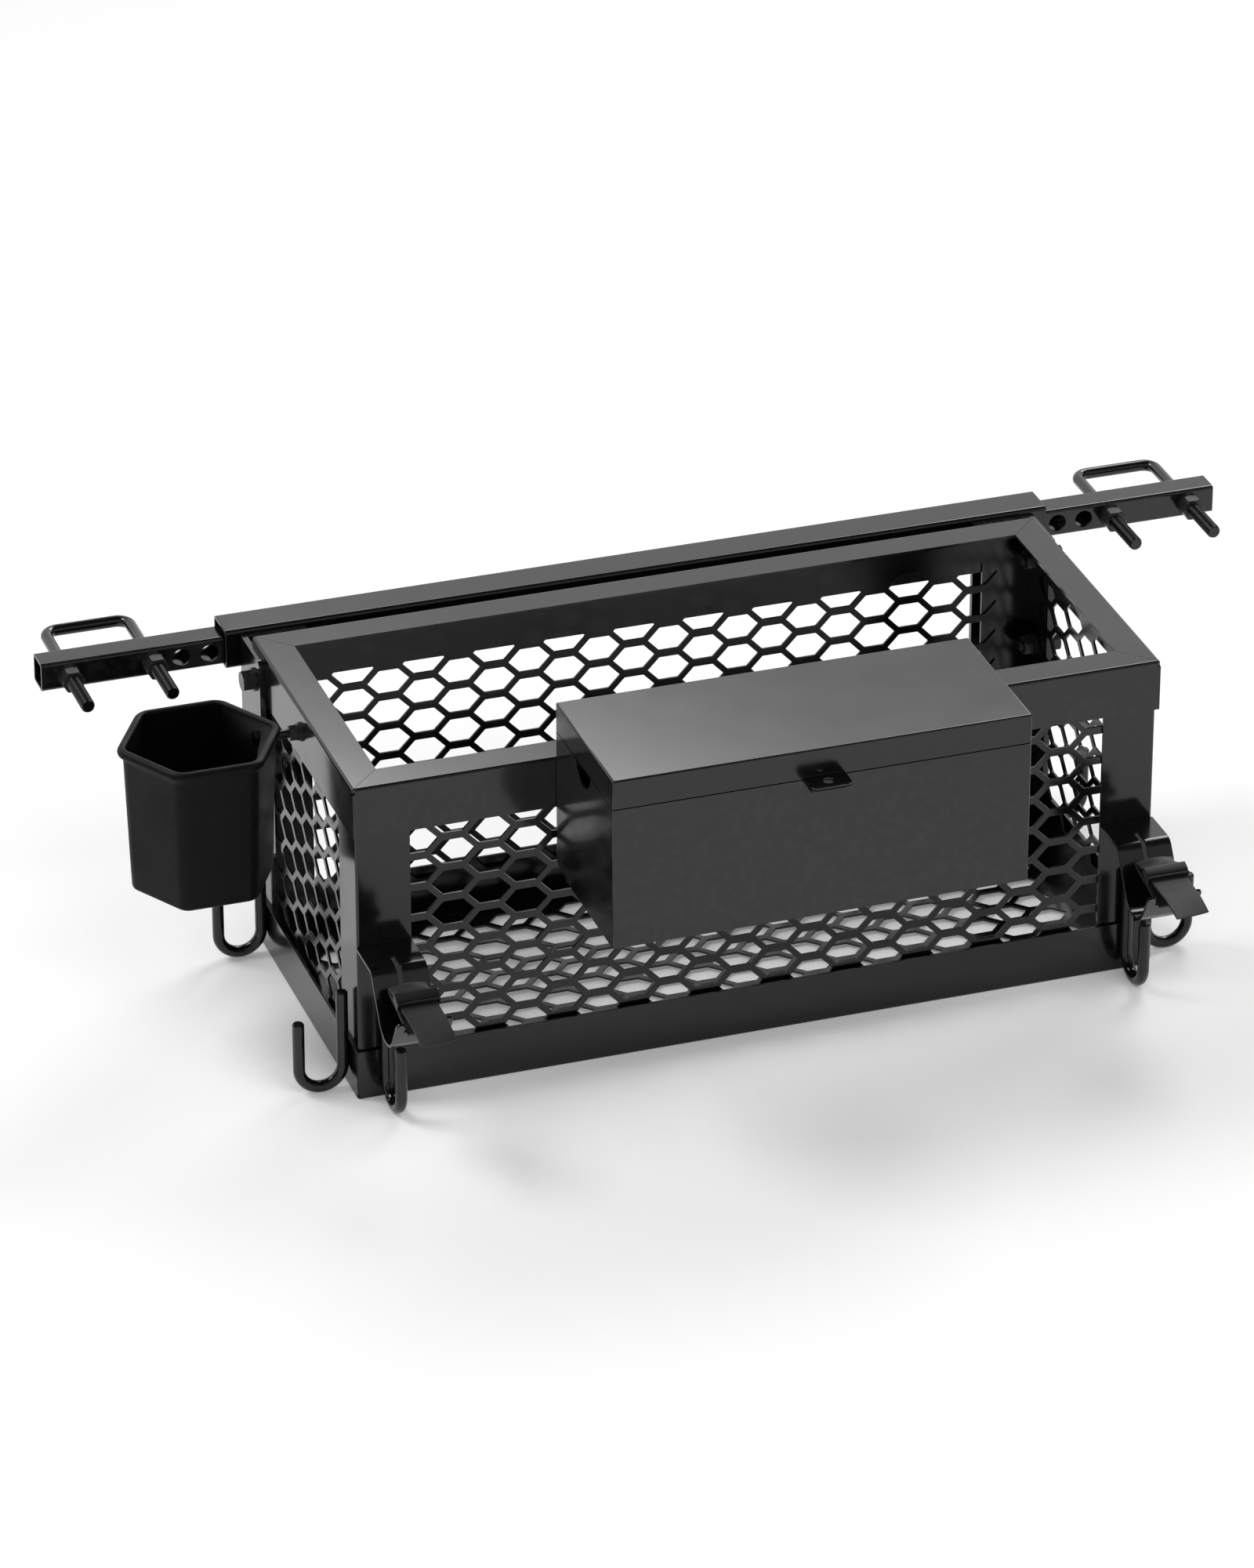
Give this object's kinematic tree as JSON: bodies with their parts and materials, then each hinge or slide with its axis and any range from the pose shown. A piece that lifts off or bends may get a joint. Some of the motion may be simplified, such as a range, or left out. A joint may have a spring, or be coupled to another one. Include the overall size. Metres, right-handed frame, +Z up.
{
  "type": "basket carrier",
  "caption": "Black mesh basket on a telescoping square crossbar with square clamp bolts, hooks, strapped tool cradles, a hexagonal cup and a lidded toolbox.",
  "frame": {"origin": "middle of the whole part's footprint, level with the underside of the basket", "axes": "+X along the crossbar to the right seen from the toolbox side, +Y from the toolbox towards the clamp bolts, +Z up"},
  "size_m": [0.8408, 0.4482, 0.2716],
  "materials": {
    "frame_paint": "gloss",
    "mesh_paint": "gloss",
    "crossbar_paint": "gloss",
    "hook_paint": "gloss",
    "toolbox_paint": "gloss",
    "fastener_black": "semi-gloss black zinc",
    "webbing": "woven",
    "buckle_plastic": "matte",
    "cup_plastic": "matte",
    "hinge_pin_steel": "brushed"
  },
  "bodies": {
    "carrier": {"top_rim_front": "frame_paint", "top_rim_right": "frame_paint", "top_rim_back": "frame_paint", "top_rim_left": "frame_paint", "bottom_rail_front": "frame_paint", "bottom_rail_right": "frame_paint", "bottom_rail_back": "frame_paint", "bottom_rail_left": "frame_paint", "post_front_left": "frame_paint", "post_front_right": "frame_paint", "post_back_left": "frame_paint", "post_back_right": "frame_paint", "mesh_front": "mesh_paint", "mesh_back": "mesh_paint", "mesh_left": "mesh_paint", "mesh_right": "mesh_paint", "mesh_floor": "mesh_paint", "crossbar_tube": "crossbar_paint", "bracket_left": "crossbar_paint", "bracket_right": "crossbar_paint", "bracket_bolts": "fastener_black", "bracket_washers": "fastener_black", "bracket_lock_washers": "fastener_black", "bracket_nuts": "fastener_black", "spacer_washers": "fastener_black", "hook_left_front": "hook_paint", "hook_left_back": "hook_paint", "hook_right_front": "hook_paint", "hook_right_back": "hook_paint", "hook_front_left": "hook_paint", "hook_front_right": "hook_paint", "cradle_left": "frame_paint", "cradle_right": "frame_paint", "strap_left": "webbing", "strap_right": "webbing", "strap_buckle_left": "buckle_plastic", "strap_buckle_right": "buckle_plastic", "cup": "cup_plastic", "cup_bolt": "frame_paint", "cup_nuts": "fastener_black", "cup_washers": "fastener_black", "toolbox_body": "toolbox_paint", "hinge_leaves_body": "toolbox_paint", "hinge_pins": "hinge_pin_steel", "toolbox_bolts": "fastener_black", "toolbox_nuts": "fastener_black", "toolbox_washers": "fastener_black"},
    "left_arm": {"arm_left": "crossbar_paint", "ubolt_washers_left": "fastener_black", "ubolt_nuts_left": "fastener_black"},
    "right_arm": {"arm_right": "crossbar_paint", "ubolt_washers_right": "fastener_black", "ubolt_nuts_right": "fastener_black"},
    "left_ubolt": {"ubolt_left": "crossbar_paint"},
    "right_ubolt": {"ubolt_right": "crossbar_paint"},
    "lid": {"toolbox_lid": "toolbox_paint", "hinge_leaves_lid": "toolbox_paint"}
  },
  "joints": [
    {"name": "left_arm_slide", "type": "slide", "parent": "carrier", "child": "left_arm", "axis": [-1, 0, 0], "range_m": [-0.04, 0.06]},
    {"name": "right_arm_slide", "type": "slide", "parent": "carrier", "child": "right_arm", "axis": [1, 0, 0], "range_m": [-0.04, 0.06]},
    {"name": "left_ubolt_slide", "type": "slide", "parent": "left_arm", "child": "left_ubolt", "axis": [0, -1, 0], "range_m": [0, 0.024]},
    {"name": "right_ubolt_slide", "type": "slide", "parent": "right_arm", "child": "right_ubolt", "axis": [0, -1, 0], "range_m": [0, 0.024]},
    {"name": "lid_hinge", "type": "hinge", "parent": "carrier", "child": "lid", "pos_m": [0, -0.0891, 0.2509], "axis": [-1, 0, 0], "range_deg": [0, 105]}
  ]
}
